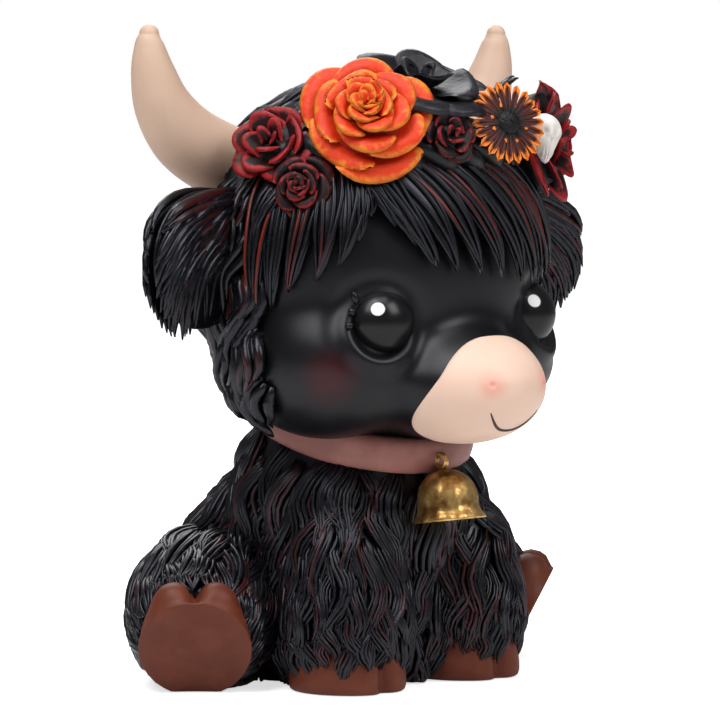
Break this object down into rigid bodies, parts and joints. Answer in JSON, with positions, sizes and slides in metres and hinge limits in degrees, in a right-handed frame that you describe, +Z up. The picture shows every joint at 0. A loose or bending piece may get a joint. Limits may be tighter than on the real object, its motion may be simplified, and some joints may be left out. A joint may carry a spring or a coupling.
{
  "type": "calf figurine",
  "caption": "Seated longhaired calf ornament in painted resin, with horns, shaggy ears, a crown of flowers, and a collar with a bell.",
  "frame": {"origin": "centre of the flat underside, on the surface it rests on, straight below the line through both horns' roots", "axes": "+Z up, -Y the way the calf faces, +X towards the calf's own left side"},
  "size_m": [0.1264, 0.0955, 0.1399],
  "materials": {
    "black_coat": "resin, satin black with dry-brushed grey and russet",
    "horn_paint": "resin, matt pinkish tan",
    "muzzle_paint": "resin, matt cream pink",
    "hoof_paint": "resin, matt red-brown",
    "collar_paint": "resin, matt mauve-brown",
    "gold_paint": "resin, antique gold paint",
    "eye_gloss": "glossy black",
    "orange_petals": "resin, matt orange red with yellow edges",
    "red_petals": "resin, black dry-brushed with crimson",
    "black_petals": "resin, satin black",
    "daisy_petals": "resin, black running to orange tips",
    "ivory_charm": "resin, matt ivory"
  },
  "bodies": {
    "root": {"body": "black_coat", "head": "black_coat", "muzzle": "muzzle_paint", "collar": "collar_paint", "bell": "gold_paint", "bell_loop": "gold_paint", "right_eye": "eye_gloss", "left_eye": "eye_gloss", "right_horn": "horn_paint", "left_horn": "horn_paint", "right_ear": "black_coat", "left_ear": "black_coat", "right_fringe": "black_coat", "left_fringe": "black_coat", "right_temple_locks": "black_coat", "left_temple_locks": "black_coat", "mane": "black_coat", "right_foreleg": "black_coat", "left_foreleg": "black_coat", "right_hind_leg": "black_coat", "left_hind_leg": "black_coat", "right_fore_hoof": "hoof_paint", "left_fore_hoof": "hoof_paint", "right_hind_hoof": "hoof_paint", "left_hind_hoof": "hoof_paint", "tail": "black_coat", "tail_tuft": "black_coat", "crown_band": "black_petals", "orange_rose": "orange_petals", "small_rose": "red_petals", "dark_rose": "red_petals", "right_peony": "red_petals", "left_peony": "red_petals", "black_poppy": "black_petals", "daisy": "daisy_petals", "skull_charm": "ivory_charm", "crown_leaves": "black_petals"}
  },
  "joints": []
}
